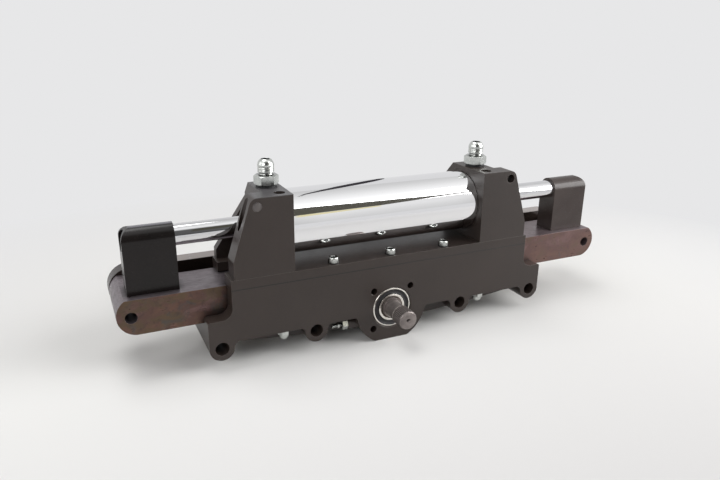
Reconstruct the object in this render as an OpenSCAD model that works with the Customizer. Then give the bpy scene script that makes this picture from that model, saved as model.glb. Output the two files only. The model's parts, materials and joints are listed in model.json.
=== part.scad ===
// Power steering rack with a hydraulic ram on top of the rack housing.
// +X runs along the rack, +Y away from the input shaft, +Z up.
// The origin is on the pinion axis at the front face of the housing.

/* [Rack bar] */
// Depth of the bar from front to back
rack_depth = 48; // [44:0.5:50]
// Height of the bar
rack_height = 32.5; // [30:0.5:34]
// Diameter of the tie-rod pin holes
pin_hole_d = 10.5; // [8:0.1:12]
// How far the bar stands to the right of its centre
rest_shift = 8; // [0:0.5:12]
// Travel of the bar from its centre to either side
half_travel = 75; // [66:1:84]
// Gap left between a connector and its tower at full travel
stop_gap = 5.65; // [5:0.05:7]
// Width of a connector along the rack
con_w = 44; // [42:0.5:46]

/* [Gear mesh] */
// Module of the rack and the pinion
tooth_module = 2; // [1.9:0.02:2.04]
// Pressure angle of the teeth in degrees
pressure_angle = 25; // [22:0.5:26]
// Number of pinion teeth
pinion_teeth = 14; // [13:1:14]
// Play between the flanks of rack and pinion
backlash = 0.3; // [0.1:0.05:0.4]
// Outer diameter of the splined input end
spline_d = 19; // [17.5:0.25:19.5]
// Number of serrations on the input end
spline_count = 36; // [24:2:48]

/* [Housing] */
// Half length of the body under the lid
body_half = 159; // [158:0.5:161]
// Thickness of the rear wall behind the bar
rear_wall = 6.2; // [5.6:0.1:7]
// Thickness of the front wall
front_wall = 15.2; // [15:0.1:16]
// Thickness of the lid
lid_t = 9.2; // [8.5:0.1:10]
// Distance of the outer lug bores beyond the body
lug_reach = 11; // [10:0.5:12]
// Distance of the inner lugs from the middle
lug_inner_x = 80; // [76:0.5:84]
// Diameter of the lug bores
lug_bore_d = 12.7; // [10:0.1:14]
// Radius of the rounded lug ends
lug_r = 11.3; // [10.5:0.1:12]
// Spacing of the four tapped holes round the input shaft
face_pitch = 40; // [39:0.5:42]
// Diameter of the tapped holes round the input shaft
face_hole_d = 7; // [6:0.1:7.6]

/* [Ram] */
// Outer diameter of the ram tube
tube_od = 61; // [58:0.5:62]
// Wall of the ram tube
tube_wall = 5.1; // [4.5:0.1:6]
// Diameter of the piston rod
rod_d = 19; // [17:0.25:20]
// Height of the ram axis above the pinion axis
ram_z = 91; // [89:0.5:93]
// Height of the tower tops above the ram axis
tower_rise = 35; // [33:0.5:38]
// Across flats of the fitting hexagons
fitting_af = 20; // [18:0.25:22]

/* [Fits] */
// Gap between parts that only pass each other
free_gap = 0.3; // [0.2:0.05:0.4]
// Gap of parts that slide on one another
slide_gap = 0.04; // [0.02:0.01:0.08]
// Gap of parts that are seated or pressed in
seat_gap = 0.02; // [0.01:0.01:0.04]

/* [Hidden] */
$fn = 96;
pitch_r = tooth_module * pinion_teeth / 2;
tip_r = pitch_r + tooth_module;
root_r = pitch_r - 1.25 * tooth_module;
base_r = pitch_r * cos(pressure_angle);
tooth_pitch = PI * tooth_module;
bar_z0 = pitch_r - tooth_module;
bar_z1 = bar_z0 + rack_height;
bar_y0 = front_wall + free_gap;
bar_y1 = bar_y0 + rack_depth;
channel_y1 = bar_y1 + free_gap;
floor_z = bar_z0 - free_gap;
joint_z = bar_z1 + free_gap;
lid_top = joint_z + lid_t;
pin_z = bar_z0 + 16.3;
pin_r = pin_hole_d / 2;
housing_depth = channel_y1 + rear_wall;
tower_x = body_half - 59;
core_x = tower_x + 24.5;
wiper_h = 1.5;
pin_to_con = 21.35;
con_off = core_x + wiper_h + stop_gap + half_travel + con_w / 2;
half_span = con_off + pin_to_con;
bar_half = half_span + 12;
spacer_in = half_span - 14;
screw_x = half_span - 9.5;
screw_dz = 9;
con_bolt_dx = 9;
ram_y = (bar_y0 + bar_y1) / 2 - 3;
con_y0 = ram_y - 12;
con_y1 = ram_y + 12;
con_top = ram_z + 12;
rod_r = rod_d / 2;
tube_r = tube_od / 2;
bore_r = tube_r - tube_wall;
tower_top = ram_z + tower_rise;
strap_y0 = bar_y1 + 15.5;
strap_y1 = strap_y0 + 16;
strap_top = bar_z1 + 5.9;
front_z = -4.5;
lug_z = -9.3;
lug_fillet = 4.7;
lug_outer_x = body_half + lug_reach;
lug_out = lug_outer_x + lug_r;
ledge_z = 18;
boss_z = -33.6;
boss_r = 38;
boss_fillet = 4;
boss_foot_x = sqrt(pow(boss_r + boss_fillet - 0.08, 2) - pow(front_z - boss_fillet, 2));
boss_foot_z = (front_z - boss_fillet) * boss_r / (boss_r + boss_fillet);
belly_y = front_wall + 1.6;
belly_z = -22;
belly_r = 1290;
hole_depth = 14;
lid_pitch = 60;
front_row = 7;
rear_row = channel_y1 + 2.7;
adj_y = 9;
adj_z = -13;
adj_face = -45;
stud_end = -61;
front_brg0 = 0.5;
front_brg1 = 12.5;
front_bore_r = 21;
front_in_r = 10;
front_land = [13.9, 19];
front_ball_ring = 16.2;
front_ball_r = 3.175;
rear_seat = channel_y1 + 0.7;
rear_brg1 = rear_seat + 10;
rear_bore_r = 17.5;
rear_in_r = 8.5;
rear_land = [10.9, 15.2];
rear_ball_ring = 13;
rear_ball_r = 2.38;
ring_edge = 0.8;
front_mouth = 1.9;
boss_y1 = rear_brg1 + 2;
cavity_r = tip_r + 1.5;
gear_y0 = front_wall + 1.8;
gear_y1 = bar_y1 - 1.5;
neck_r = 8.5;
spline_y0 = -33.5;
spline_y1 = -17.2;
bolt_x = tower_x + 9.3;
bolt_y = 10.6;
outer_x = tower_x + 42.5;
outer_y = 11;
bolt_r = 3;
bolt_hole_r = bolt_r + 0.2;
bolt_seat = lid_top + 22;
rear_bolt_x = tower_x + 13;
rear_bolt_y = housing_depth - 13;
port_x = tower_x + 13;
port_r = 7.5;
left_turn = -10;
right_turn = 24;
port_z = ram_z + rod_r + 8.5;
socket_x = tower_x + 3.5;
gland_x = core_x - 10;
bush_t = 2.5;
seal_t = 4;
pad_x = tower_x + 5;
pad_y = ram_y - 14.5;
pad_size = [44, 34, 4];
top_pad_x = tower_x - 5;
top_pad_y = ram_y - 13;
top_pad_size = [30, 26, 3.2];
cheek_t = 19;
knee_x = body_half - 3.2;
knee_z = lid_top + 16;
cheek_x = body_half - 21.2;
cheek_r = 8;
edge_angle = atan2(tower_top - knee_z, knee_x - cheek_x);
edge_cut = cheek_r * tan(edge_angle / 2);
hole_x = cheek_x - 5.1;
hole_z = tower_top - 8;
hole_r = 4.25;
rear_knee_z = lid_top + 9;
core_cut = 12.5;
rear_top = min(rear_knee_z + (body_half - 2 - core_x) / 0.676, tower_top - core_cut - 2);

// A flat XZ shape drawn out along Y from y0 to y1
module along_y(y0, y1) {
  translate([0, y1, 0])
    rotate([90, 0, 0])
      linear_extrude(y1 - y0)
        children();
}

// A flat YZ shape drawn out along X from x0 to x1
module along_x(x0, x1) {
  translate([x0, 0, 0])
    rotate([90, 0, 90])
      linear_extrude(x1 - x0)
        children();
}

// Upright round bar between two heights
module post(x, y, z0, z1, r) {
  translate([x, y, z0])
    cylinder(h = z1 - z0, r = r);
}

// Upright hexagon bar between two heights
module hex_post(x, y, z0, z1, af) {
  translate([x, y, z0])
    cylinder(h = z1 - z0, r = af / sqrt(3), $fn = 6);
}

// Flat ring
module ring(r_in, r_out) {
  difference() {
    circle(r = r_out);
    circle(r = r_in);
  }
}

// Flat rectangle between two corners
module rect(x0, z0, x1, z1) {
  translate([x0, z0])
    square([x1 - x0, z1 - z0]);
}

// The same thing at the left and at the right of the middle
module both() {
  children();
  mirror([1, 0, 0])
    children();
}

// Inside corner piece that turns a square corner into a round one
module corner(x, z, r, sx, sz) {
  difference() {
    rect(min(x, x + sx * r), min(z, z + sz * r), max(x, x + sx * r), max(z, z + sz * r));
    translate([x + sx * r, z + sz * r])
      circle(r = r);
  }
}

// Flank point of the pinion tooth, a is the half angle at the base circle
function flank(t, a) = base_r * sqrt(1 + t * t)
  * [sin(a - (t * 180 / PI - atan(t))), cos(a - (t * 180 / PI - atan(t)))];
tip_t = sqrt(pow(tip_r / base_r, 2) - 1);
half_base = 90 / pinion_teeth + (tan(pressure_angle) * 180 / PI - pressure_angle);
right_flank = [for (i = [0 : 8]) flank(tip_t * i / 8, half_base)];
left_flank = [for (i = [8 : -1 : 0]) [-right_flank[i][0], right_flank[i][1]]];

// One pinion tooth standing on the root circle
module gear_tooth() {
  polygon(concat([[root_r * 0.9 * sin(half_base), root_r * 0.9 * cos(half_base)]], right_flank,
    left_flank, [[-root_r * 0.9 * sin(half_base), root_r * 0.9 * cos(half_base)]]));
}

module gear_shape() {
  circle(r = root_r);
  for (i = [0 : pinion_teeth - 1])
    rotate(360 * i / pinion_teeth)
      gear_tooth();
}

// Gap between two teeth of the rack
module rack_gap() {
  low = tooth_pitch / 4 + backlash / 2 + (tooth_module + 1) * tan(pressure_angle);
  high = tooth_pitch / 4 + backlash / 2 - 1.25 * tooth_module * tan(pressure_angle);
  polygon([[-low, bar_z0 - 1], [low, bar_z0 - 1], [high, bar_z0 + 2.25 * tooth_module],
    [-high, bar_z0 + 2.25 * tooth_module]]);
}

// Housing

module lug_shape(x) {
  translate([x, lug_z])
    circle(r = lug_r);
  rect(x - lug_r, lug_z, x + lug_r, 5);
}

// Rounded notch corners beside a lug
module lug_corners(x, z) {
  corner(x + lug_r, z, lug_fillet, 1, -1);
  corner(x - lug_r, z, lug_fillet, -1, -1);
}

// Round boss under the pinion with a flat foot and filleted sides
module boss_shape() {
  difference() {
    intersection() {
      union() {
        circle(r = boss_r);
        rect(-boss_foot_x, boss_foot_z, boss_foot_x, front_z + 2);
      }
      rect(-boss_r - 10, boss_z, boss_r + 10, front_z + 2);
    }
    both()
      translate([boss_foot_x, front_z - boss_fillet])
        circle(r = boss_fillet);
  }
}

module end_ledge() {
  rect(body_half - 1, front_z, lug_out - 2, ledge_z);
  rect(body_half - 1, front_z, lug_out, ledge_z - 2);
  translate([lug_out - 2, ledge_z - 2])
    circle(r = 2);
  corner(body_half, ledge_z, 10, 1, 1);
}

module front_shape() {
  rect(-body_half, front_z, body_half, joint_z);
  both() {
    end_ledge();
    lug_shape(lug_outer_x);
    lug_shape(lug_inner_x);
    corner(lug_outer_x - lug_r, front_z, lug_fillet, -1, -1);
    lug_corners(lug_inner_x, front_z);
  }
  boss_shape();
}

// Belly behind the front wall, a shallow arc with the lugs and the boss
module rear_low_shape() {
  both() {
    lug_shape(lug_outer_x);
    lug_shape(lug_inner_x);
  }
  intersection() {
    rect(-lug_out, belly_z - 2, lug_out, floor_z);
    translate([0, belly_z + belly_r])
      circle(r = belly_r);
  }
  boss_shape();
}

// Upright tapped hole from the joint face down
module joint_hole(x, y, r) {
  post(x, y, joint_z - hole_depth, joint_z + 1, r + seat_gap);
}

module housing() {
  color([0.22, 0.2, 0.19])
  difference() {
    union() {
      along_y(0, front_wall)
        front_shape();
      along_y(front_wall - 0.1, belly_y)
        intersection() {
          front_shape();
          rect(-lug_out - 1, boss_z - 1, lug_out + 1, floor_z);
        }
      along_y(belly_y - 0.1, housing_depth)
        rear_low_shape();
      along_y(channel_y1, housing_depth)
        rect(-body_half, 0, body_half, joint_z);
      along_y(housing_depth - 1, boss_y1)
        circle(r = rear_bore_r + 4.5);
      along_x(adj_face, -boss_r + 6)
        translate([adj_y, adj_z])
          circle(r = 5.5);
    }
    both() {
      for (x = [lug_outer_x, lug_inner_x])
        along_y(-1, housing_depth + 1)
          translate([x, lug_z])
            circle(r = lug_bore_d / 2);
      post(bolt_x, bolt_y, front_z - 1, joint_z + 1, bolt_hole_r);
      translate([pad_x, pad_y, floor_z - pad_size[2]])
        cube([pad_size[0], pad_size[1], pad_size[2] + 1]);
      joint_hole(outer_x, outer_y, bolt_r);
      joint_hole(lid_pitch, front_row, bolt_r);
      joint_hole(lid_pitch, rear_row, 2);
      for (z = [-1, 1])
        along_y(-1, 12)
          translate([face_pitch / 2, z * face_pitch / 2])
            circle(r = face_hole_d / 2);
    }
    joint_hole(0, front_row, bolt_r);
    joint_hole(0, rear_row, 2);
    along_x(adj_face - 1, -26)
      translate([adj_y, adj_z])
        circle(r = 2 + seat_gap);
    along_y(-1, front_brg1)
      circle(r = front_bore_r + seat_gap);
    along_y(-1, front_brg0)
      circle(r = front_bore_r + 0.5);
    along_y(front_brg1 - 0.5, channel_y1 - 1)
      circle(r = cavity_r);
    along_y(channel_y1 - 2, rear_seat + 1)
      circle(r = rear_bore_r - 3);
    along_y(rear_seat, boss_y1 + 1)
      circle(r = rear_bore_r + seat_gap);
    along_y(rear_brg1 + 0.1, rear_brg1 + 1.4)
      circle(r = rear_bore_r + 1);
  }
}

// Lid

module lid() {
  color([0.23, 0.2, 0.18])
  difference() {
    translate([-body_half, 0, joint_z])
      cube([2 * body_half, housing_depth, lid_t]);
    both() {
      translate([core_x + 3.5, con_y0 - 1.5, joint_z - 1])
        cube([body_half - core_x, con_y1 - con_y0 + 3, lid_t + 2]);
      post(bolt_x, bolt_y, joint_z - 1, lid_top + 1, bolt_hole_r);
      post(outer_x, outer_y, joint_z - 1, lid_top + 1, bolt_hole_r);
      post(rear_bolt_x, rear_bolt_y, joint_z - 1, lid_top + 1, 2.75);
      post(rear_bolt_x, rear_bolt_y, joint_z - 1, joint_z + 5.4, 4.6);
      translate([top_pad_x, top_pad_y, joint_z - 1])
        cube([top_pad_size[0], top_pad_size[1], top_pad_size[2] + 1]);
      post(lid_pitch, front_row, joint_z - 1, lid_top + 1, bolt_hole_r);
      post(lid_pitch, rear_row, joint_z - 1, lid_top + 1, 2.25);
    }
    post(0, front_row, joint_z - 1, lid_top + 1, bolt_hole_r);
    post(0, rear_row, joint_z - 1, lid_top + 1, 2.25);
  }
}

module upper_guide_pads() {
  color([0.55, 0.4, 0.2])
  both()
    translate([top_pad_x + seat_gap, top_pad_y + seat_gap, bar_z1 + slide_gap])
      cube([top_pad_size[0] - 2 * seat_gap, top_pad_size[1] - 2 * seat_gap,
        free_gap + top_pad_size[2] - slide_gap - seat_gap]);
}

module lower_guide_pads() {
  color([0.55, 0.4, 0.2])
  both()
    translate([pad_x + seat_gap, pad_y + seat_gap, floor_z - pad_size[2] + seat_gap])
      cube([pad_size[0] - 2 * seat_gap, pad_size[1] - 2 * seat_gap,
        pad_size[2] + free_gap - slide_gap - seat_gap]);
}

// Socket head screw standing upright, head above z
module socket_screw(x, y, z, d, length, head_d, head_h, af) {
  difference() {
    union() {
      post(x, y, z - length, z + 0.5, d / 2);
      post(x, y, z, z + head_h - 0.5, head_d / 2);
      translate([x, y, z + head_h - 0.5])
        cylinder(h = 0.5, r1 = head_d / 2, r2 = head_d / 2 - 0.5);
    }
    hex_post(x, y, z + head_h / 2, z + head_h + 1, af);
  }
}

module lid_front_screws() {
  color([0.75, 0.75, 0.72])
  for (x = [-lid_pitch, 0, lid_pitch])
    socket_screw(x, front_row, lid_top, 2 * bolt_r, lid_t + hole_depth - 1, 10, 6, 5);
}

module lid_rear_screws() {
  color([0.75, 0.75, 0.72])
  for (x = [-lid_pitch, 0, lid_pitch])
    socket_screw(x, rear_row, lid_top, 4, lid_t + hole_depth - 1, 7, 4, 3);
}

// Towers

module front_cheek_shape() {
  polygon([[core_x - 5, lid_top], [knee_x, lid_top], [knee_x, knee_z],
    [cheek_x + edge_cut * cos(edge_angle), tower_top - edge_cut * sin(edge_angle)],
    [cheek_x - edge_cut, tower_top], [core_x - 5, tower_top]]);
  translate([cheek_x - edge_cut, tower_top - cheek_r])
    circle(r = cheek_r);
}

module core_shape() {
  polygon([[0, lid_top], [housing_depth, lid_top], [housing_depth, tower_top - core_cut],
    [housing_depth - core_cut, tower_top], [0, tower_top]]);
}

module rear_cheek_shape() {
  polygon([[core_x - 5, lid_top], [body_half - 2, lid_top], [body_half - 2, rear_knee_z],
    [core_x, rear_top], [core_x - 5, rear_top]]);
}

module tower_body() {
  difference() {
    union() {
      along_x(tower_x, core_x)
        core_shape();
      along_y(0, cheek_t)
        front_cheek_shape();
      along_y(housing_depth - 9, housing_depth)
        rear_cheek_shape();
    }
    along_x(tower_x - 1, socket_x)
      translate([ram_y, ram_z])
        circle(r = tube_r + seat_gap);
    along_x(tower_x - 1, tower_x + 0.6)
      translate([ram_y, ram_z])
        circle(r = tube_r + 2.5);
    along_x(socket_x - 1, gland_x + 1)
      translate([ram_y, ram_z])
        circle(r = rod_r + bush_t + seat_gap);
    along_x(gland_x, core_x + 1)
      translate([ram_y, ram_z])
        circle(r = rod_r + seal_t + seat_gap);
    for (p = [[bolt_x, bolt_y], [outer_x, outer_y]]) {
      post(p[0], p[1], lid_top - 1, tower_top + 1, bolt_hole_r);
      post(p[0], p[1], bolt_seat, tower_top + 1, 5.2);
    }
    post(port_x, ram_y, port_z, tower_top + 1, port_r + seat_gap);
    along_x(socket_x - 1, port_x)
      translate([ram_y, port_z + 1.5])
        circle(r = 3);
    post(rear_bolt_x, rear_bolt_y, lid_top - 1, lid_top + hole_depth, 2.5 + seat_gap);
    along_y(-1, cheek_t + 1)
      translate([hole_x, hole_z])
        circle(r = hole_r);
  }
}

module tower_right() {
  color([0.24, 0.22, 0.21])
  tower_body();
}

module tower_left() {
  color([0.24, 0.22, 0.21])
  mirror([1, 0, 0])
    tower_body();
}

module cheek_pin() {
  color([0.5, 0.5, 0.5])
  translate([-hole_x, 0, hole_z])
    union() {
      along_y(0.2, cheek_t - 3)
        circle(r = hole_r - seat_gap);
      along_y(-0.3, 0.2)
        circle(r = hole_r - 0.5);
    }
}

module tower_front_bolts() {
  color([0.6, 0.6, 0.6])
  both()
    difference() {
      union() {
        post(bolt_x, bolt_y, front_z - 7.8, bolt_seat + 1, bolt_r);
        post(bolt_x, bolt_y, bolt_seat, bolt_seat + 6, 5);
      }
      hex_post(bolt_x, bolt_y, bolt_seat + 3, bolt_seat + 7, 5);
    }
}

module tower_bolt_washers() {
  color([0.75, 0.75, 0.72])
  both()
    translate([bolt_x, bolt_y, front_z - 1.2])
      linear_extrude(1.2)
        ring(bolt_r + 0.1, 5.8);
}

// Domed cap nuts under the housing
module tower_bolt_nuts() {
  color([0.75, 0.75, 0.72])
  both()
    difference() {
      union() {
        hex_post(bolt_x, bolt_y, front_z - 6.5, front_z - 1.2, 10.4);
        post(bolt_x, bolt_y, front_z - 7.5, front_z - 6, 4.8);
        translate([bolt_x, bolt_y, front_z - 7.5])
          sphere(r = 4.8);
      }
      post(bolt_x, bolt_y, front_z - 8.2, front_z, bolt_r + seat_gap);
    }
}

module tower_outer_screws() {
  color([0.75, 0.75, 0.72])
  both()
    socket_screw(outer_x, outer_y, bolt_seat, 2 * bolt_r, bolt_seat - joint_z + hole_depth - 1,
      9.9, 6, 5);
}

module tower_rear_bolts() {
  color([0.3, 0.3, 0.3])
  both()
    difference() {
      union() {
        post(rear_bolt_x, rear_bolt_y, joint_z + 5.4, lid_top + hole_depth - 2, 2.5);
        post(rear_bolt_x, rear_bolt_y, joint_z + 0.4, joint_z + 5.4, 4.25);
      }
      hex_post(rear_bolt_x, rear_bolt_y, joint_z - 1, joint_z + 2.9, 4);
    }
}

// Adjuster lying along the body beside the boss

module adjuster_screw() {
  color([0.75, 0.75, 0.72])
  translate([0, adj_y, adj_z])
    difference() {
      rotate([0, 90, 0])
        rotate_extrude()
          polygon([[0, stud_end], [1.5, stud_end], [2, stud_end + 0.5],
            [2, adj_face - 10.5], [2.75, adj_face - 10.5], [2.75, adj_face - 8.5],
            [2, adj_face - 8.5], [2, -26.5], [0, -26.5]]);
      along_x(stud_end - 1, stud_end + 2)
        circle(r = 1 / cos(30), $fn = 6);
    }
}

module adjuster_nut() {
  color([0.75, 0.75, 0.72])
  translate([0, adj_y, adj_z])
    along_x(adj_face - 6, adj_face)
      difference() {
        circle(r = 4.5 / cos(30), $fn = 6);
        circle(r = 2 + seat_gap);
      }
}

// Ram tube, seals and fittings

module ram_tube() {
  color([0.85, 0.86, 0.88])
  along_x(-socket_x + 1, socket_x - 1)
    translate([ram_y, ram_z])
      ring(bore_r, tube_r);
}

module tube_seals() {
  color([0.05, 0.05, 0.05])
  both()
    along_x(socket_x - 1, socket_x)
      translate([ram_y, ram_z])
        ring(bore_r + 0.5, tube_r - 0.4);
}

module rod_bushes() {
  color([0.7, 0.5, 0.25])
  both()
    along_x(socket_x, gland_x)
      translate([ram_y, ram_z])
        ring(rod_r + slide_gap, rod_r + bush_t);
}

module rod_seals() {
  color([0.05, 0.05, 0.05])
  both()
    along_x(gland_x, core_x - 4)
      translate([ram_y, ram_z])
        ring(rod_r + slide_gap, rod_r + seal_t);
}

module rod_wipers() {
  color([0.06, 0.06, 0.06])
  both()
    translate([0, ram_y, ram_z])
      rotate([0, 90, 0])
        rotate_extrude()
          polygon([[rod_r + slide_gap, core_x - 4], [rod_r + seal_t, core_x - 4],
            [rod_r + seal_t, core_x], [rod_r + 3.2, core_x + wiper_h],
            [rod_r + 1, core_x + wiper_h], [rod_r + slide_gap, core_x + 0.5]]);
}

module fitting_body(turn) {
  difference() {
    union() {
      post(0, 0, port_z + 5, tower_top + 3, port_r);
      rotate([0, 0, turn])
        hex_post(0, 0, tower_top + 2, tower_top + 10.2, fitting_af);
      translate([0, 0, tower_top + 10.1])
        cylinder(h = 1.1, r1 = fitting_af / 2 - 0.1, r2 = fitting_af / 2 - 0.9);
      post(0, 0, tower_top + 10.7, tower_top + 13.5, 7.2);
      post(0, 0, tower_top + 13, tower_top + 19.5, 7.9);
      translate([0, 0, tower_top + 19.4])
        cylinder(h = 0.9, r1 = 7.85, r2 = 7.2);
      translate([0, 0, tower_top + 20.2])
        cylinder(h = 5, r1 = 7.1, r2 = 4.9);
    }
    post(0, 0, port_z + 4, tower_top + 30, 3.4);
  }
}

module fitting_left() {
  color([0.78, 0.78, 0.75])
  translate([-port_x, ram_y, 0])
    fitting_body(left_turn);
}

module fitting_right() {
  color([0.78, 0.78, 0.75])
  translate([port_x, ram_y, 0])
    fitting_body(right_turn);
}

module fitting_seals() {
  color([0.05, 0.05, 0.05])
  both()
    translate([port_x, ram_y, tower_top])
      linear_extrude(2)
        ring(port_r + seat_gap, 9.6);
}

// Rack bar and the parts that move with it

// End of the bar from x on: flat faces cut by a circle round the pin hole
module bar_end_shape(x) {
  rect(x, bar_z0, half_span - 6, bar_z1);
  intersection() {
    rect(x, bar_z0, bar_half + 1, bar_z1);
    translate([half_span - 6, pin_z + 1.5])
      circle(r = 18);
  }
}

module bar_shape() {
  both()
    bar_end_shape(-1);
}

module rack_bar() {
  color([0.32, 0.21, 0.18])
  difference() {
    translate([rest_shift, 0, 0])
      along_y(bar_y0, bar_y1)
        bar_shape();
    along_y(bar_y0 - 1, bar_y1 + 1)
      for (i = [-13 : 15])
        translate([i * tooth_pitch, 0])
          rack_gap();
    translate([rest_shift, 0, 0])
      both() {
        along_y(bar_y0 - 1, bar_y1 + 1)
          translate([half_span, pin_z])
            circle(r = pin_r);
        for (x = [-con_bolt_dx, con_bolt_dx]) {
          post(con_off + x, ram_y, bar_z0 - 1, bar_z1 + 1, 4.2);
          post(con_off + x, ram_y, bar_z0 - 1, bar_z0 + 9, 6.75);
        }
        for (z = [-screw_dz, screw_dz])
          along_y(bar_y1 - 14, bar_y1 + 1)
            translate([screw_x, pin_z + z])
              circle(r = 2.5 + seat_gap);
      }
  }
}

module connector_shape() {
  rect(con_off - con_w / 2, bar_z1, con_off + con_w / 2, con_top - 10);
  rect(con_off - con_w / 2, con_top - 11, con_off + con_w / 2 - 10, con_top);
  translate([con_off + con_w / 2 - 10, con_top - 10])
    circle(r = 10);
}

module connector_body() {
  difference() {
    intersection() {
      along_y(con_y0, con_y1)
        connector_shape();
      along_x(con_off - con_w, con_off + con_w)
        union() {
          rect(con_y0, bar_z1, con_y1, ram_z);
          translate([ram_y, ram_z])
            circle(r = 12);
        }
    }
    along_x(con_off - con_w, con_off + con_w)
      translate([ram_y, ram_z])
        circle(r = rod_r + seat_gap);
    for (x = [-con_bolt_dx, con_bolt_dx])
      post(con_off + x, ram_y, bar_z1 - 1, bar_z1 + 20, 4 + seat_gap);
    along_y(ram_y, con_y1 + 1)
      translate([con_off, ram_z])
        circle(r = 3 + seat_gap);
  }
}

module connector_right() {
  color([0.1, 0.1, 0.1])
  translate([rest_shift, 0, 0])
    connector_body();
}

module connector_left() {
  color([0.1, 0.1, 0.1])
  translate([rest_shift, 0, 0])
    mirror([1, 0, 0])
      connector_body();
}

module connector_bolts() {
  color([0.3, 0.3, 0.3])
  translate([rest_shift, 0, 0])
    both()
      for (x = [-con_bolt_dx, con_bolt_dx])
        difference() {
          union() {
            post(con_off + x, ram_y, bar_z0 + 9, bar_z1 + 18, 4);
            post(con_off + x, ram_y, bar_z0 + 1, bar_z0 + 9, 6.5);
          }
          hex_post(con_off + x, ram_y, bar_z0, bar_z0 + 5, 6);
        }
}

module connector_set_screws() {
  color([0.3, 0.3, 0.3])
  translate([rest_shift, 0, 0])
    both()
      translate([con_off, 0, ram_z])
        difference() {
          along_y(con_y1 - 4.6, con_y1 - 0.3)
            circle(r = 3);
          along_y(con_y1 - 2.5, con_y1)
            circle(r = 3 / sqrt(3), $fn = 6);
        }
}

module piston_rod() {
  color([0.85, 0.86, 0.88])
  translate([rest_shift, 0, 0])
    difference() {
      along_x(-con_off - con_w / 2 + 3.5, con_off + con_w / 2 - 3.5)
        translate([ram_y, ram_z])
          circle(r = rod_r);
      both() {
        along_y(con_y1 - 4.8, con_y1)
          translate([con_off, ram_z])
            circle(r = 3 + seat_gap);
        along_x(12.04, 13.24)
          translate([ram_y, ram_z])
            ring(rod_r - 0.8, rod_r + 1);
      }
    }
}

module piston() {
  color([0.6, 0.6, 0.62])
  translate([rest_shift, ram_y, ram_z])
    rotate([0, 90, 0])
      rotate_extrude()
        polygon([[rod_r + seat_gap, -12], [bore_r - 0.08, -12], [bore_r - 0.08, -7], [bore_r - 4, -7],
          [bore_r - 4, -2], [bore_r - 0.08, -2], [bore_r - 0.08, 2], [bore_r - 4, 2],
          [bore_r - 4, 7], [bore_r - 0.08, 7], [bore_r - 0.08, 12], [rod_r + seat_gap, 12]]);
}

module piston_seals() {
  color([0.05, 0.05, 0.05])
  translate([rest_shift, 0, 0])
    both()
      along_x(2 + seat_gap, 7 - seat_gap)
        translate([ram_y, ram_z])
          ring(bore_r - 4 + seat_gap, bore_r - slide_gap);
}

module piston_clips() {
  color([0.4, 0.4, 0.4])
  translate([rest_shift, 0, 0])
    both()
      along_x(12.06, 13.2)
        translate([ram_y, ram_z])
          difference() {
            ring(rod_r - 0.78, rod_r + 2);
            rect(-1.5, 0, 1.5, rod_r + 3);
          }
}

module strap_shape() {
  rect(-(half_span - 8), bar_z0, half_span - 8, strap_top);
  both()
    intersection() {
      rect(half_span - 9, bar_z0, bar_half + 1, strap_top);
      translate([half_span - 8, strap_top - 20.2])
        circle(r = 20.2);
    }
}

module rear_strap() {
  color([0.2, 0.17, 0.16])
  translate([rest_shift, 0, 0])
    difference() {
      along_y(strap_y0, strap_y1)
        strap_shape();
      both() {
        along_y(strap_y0 - 1, strap_y1 + 1)
          translate([half_span, pin_z])
            circle(r = pin_r);
        for (z = [-screw_dz, screw_dz]) {
          along_y(strap_y0 - 1, strap_y1 + 1)
            translate([screw_x, pin_z + z])
              circle(r = 2.75);
          along_y(strap_y1 - 5.3, strap_y1 + 1)
            translate([screw_x, pin_z + z])
              circle(r = 4.6);
        }
      }
    }
}

module end_spacers() {
  color([0.3, 0.2, 0.17])
  translate([rest_shift, 0, 0])
    both()
      difference() {
        along_y(bar_y1, strap_y0)
          bar_end_shape(spacer_in);
        along_y(bar_y1 - 1, strap_y0 + 1)
          translate([half_span, pin_z])
            circle(r = pin_r);
        for (z = [-screw_dz, screw_dz])
          along_y(bar_y1 - 1, strap_y0 + 1)
            translate([screw_x, pin_z + z])
              circle(r = 2.75);
      }
}

module strap_screws() {
  color([0.3, 0.3, 0.3])
  translate([rest_shift, 0, 0])
    both()
      for (z = [-screw_dz, screw_dz])
        translate([screw_x, 0, pin_z + z])
          difference() {
            union() {
              along_y(bar_y1 - 13, strap_y1 - 5.3)
                circle(r = 2.5);
              along_y(strap_y1 - 5.3, strap_y1 - 0.3)
                circle(r = 4.25);
            }
            along_y(strap_y1 - 3, strap_y1)
              circle(r = 4 / sqrt(3), $fn = 6);
          }
}

// Pinion shaft and bearings

module spline_shape() {
  polygon([for (i = [0 : 2 * spline_count - 1])
    (i % 2 == 0 ? spline_d / 2 : spline_d / 2 - 0.7) * [cos(180 * i / spline_count),
      sin(180 * i / spline_count)]]);
}

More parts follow.
